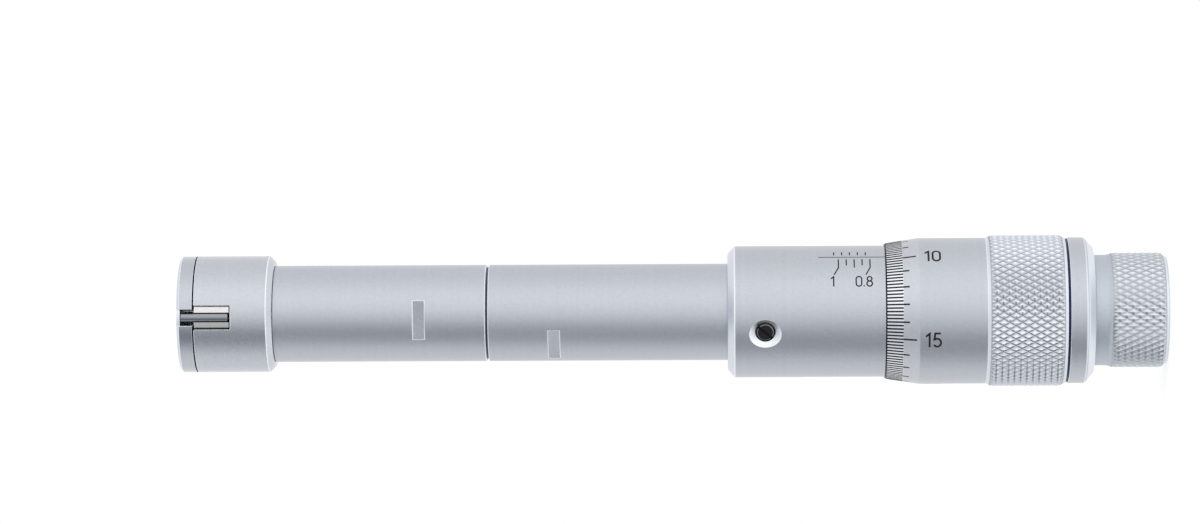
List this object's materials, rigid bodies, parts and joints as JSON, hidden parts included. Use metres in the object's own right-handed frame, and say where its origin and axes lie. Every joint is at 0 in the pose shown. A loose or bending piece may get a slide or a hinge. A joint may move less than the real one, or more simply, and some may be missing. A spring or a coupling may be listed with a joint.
{
  "type": "inside micrometer",
  "caption": "Three-point inside micrometer: knurled thimble and ratchet knob drive a cone that pushes radial anvils out of a slotted measuring head on a two-part stem.",
  "frame": {"origin": "centre of the ratchet knob's flat end, on which the instrument stands", "axes": "+Z along the instrument's axis, towards the measuring head; -Y is the side with the reading line at its left and the set screw"},
  "size_m": [0.0246, 0.0246, 0.1595],
  "materials": {
    "satin_chrome": "satin",
    "ground_steel": "ground",
    "carbide": "polished",
    "spring_steel": "drawn wire",
    "black_oxide": "black oxide",
    "nut_brass": "turned",
    "dark_ring": "matt"
  },
  "bodies": {
    "frame": {"head_body": "satin_chrome", "front_cap": "satin_chrome", "cap_screw_1": "ground_steel", "cap_screw_2": "ground_steel", "cap_screw_3": "ground_steel", "front_stem": "satin_chrome", "rear_stem": "satin_chrome", "inner_sleeve": "ground_steel", "adjusting_nut": "nut_brass", "sleeve": "satin_chrome", "set_screw": "black_oxide", "return_spring": "spring_steel", "anvil_spring_1": "spring_steel", "anvil_spring_2": "spring_steel", "anvil_spring_3": "spring_steel"},
    "feed": {"cone": "ground_steel", "front_push_rod": "ground_steel", "rear_push_rod": "ground_steel", "steel_ball": "ground_steel"},
    "thimble": {"thimble": "satin_chrome", "spindle": "ground_steel", "spacer_ring": "dark_ring", "thimble_cap": "satin_chrome", "ratchet_wheel": "ground_steel", "ratchet_screw": "ground_steel"},
    "ratchet": {"ratchet_knob": "satin_chrome", "ratchet_clutch": "ground_steel", "ratchet_spring": "spring_steel"},
    "anvil_1": {"anvil_1": "ground_steel", "anvil_tip_1": "carbide"},
    "anvil_2": {"anvil_2": "ground_steel", "anvil_tip_2": "carbide"},
    "anvil_3": {"anvil_3": "ground_steel", "anvil_tip_3": "carbide"}
  },
  "joints": [
    {"name": "feed_slide", "type": "slide", "parent": "frame", "child": "feed", "axis": [0, 0, 1], "range_m": [0, 0.00738], "deforming": ["return_spring"]},
    {"name": "thimble_turn", "type": "hinge", "parent": "feed", "child": "thimble", "pos_m": [0, 0, 0.03], "axis": [0, 0, 1], "range_deg": [0, 4182]},
    {"name": "ratchet_turn", "type": "hinge", "parent": "thimble", "child": "ratchet", "pos_m": [0, 0, 0.006], "axis": [0, 0, 1], "continuous": true},
    {"name": "anvil_1_slide", "type": "slide", "parent": "frame", "child": "anvil_1", "axis": [-0.061, -0.9981, 0], "range_m": [0, 0.00369], "deforming": ["anvil_spring_1"]},
    {"name": "anvil_2_slide", "type": "slide", "parent": "frame", "child": "anvil_2", "axis": [0.8949, 0.4462, 0], "range_m": [0, 0.00369], "deforming": ["anvil_spring_2"]},
    {"name": "anvil_3_slide", "type": "slide", "parent": "frame", "child": "anvil_3", "axis": [-0.8339, 0.5519, 0], "range_m": [0, 0.00369], "deforming": ["anvil_spring_3"]}
  ],
  "couplings": [
    {"joint": "thimble_turn", "follows": "feed_slide", "rad_per_m": 9894.8},
    {"joint": "anvil_1_slide", "follows": "feed_slide", "ratio": 0.5},
    {"joint": "anvil_2_slide", "follows": "feed_slide", "ratio": 0.5},
    {"joint": "anvil_3_slide", "follows": "feed_slide", "ratio": 0.5}
  ]
}
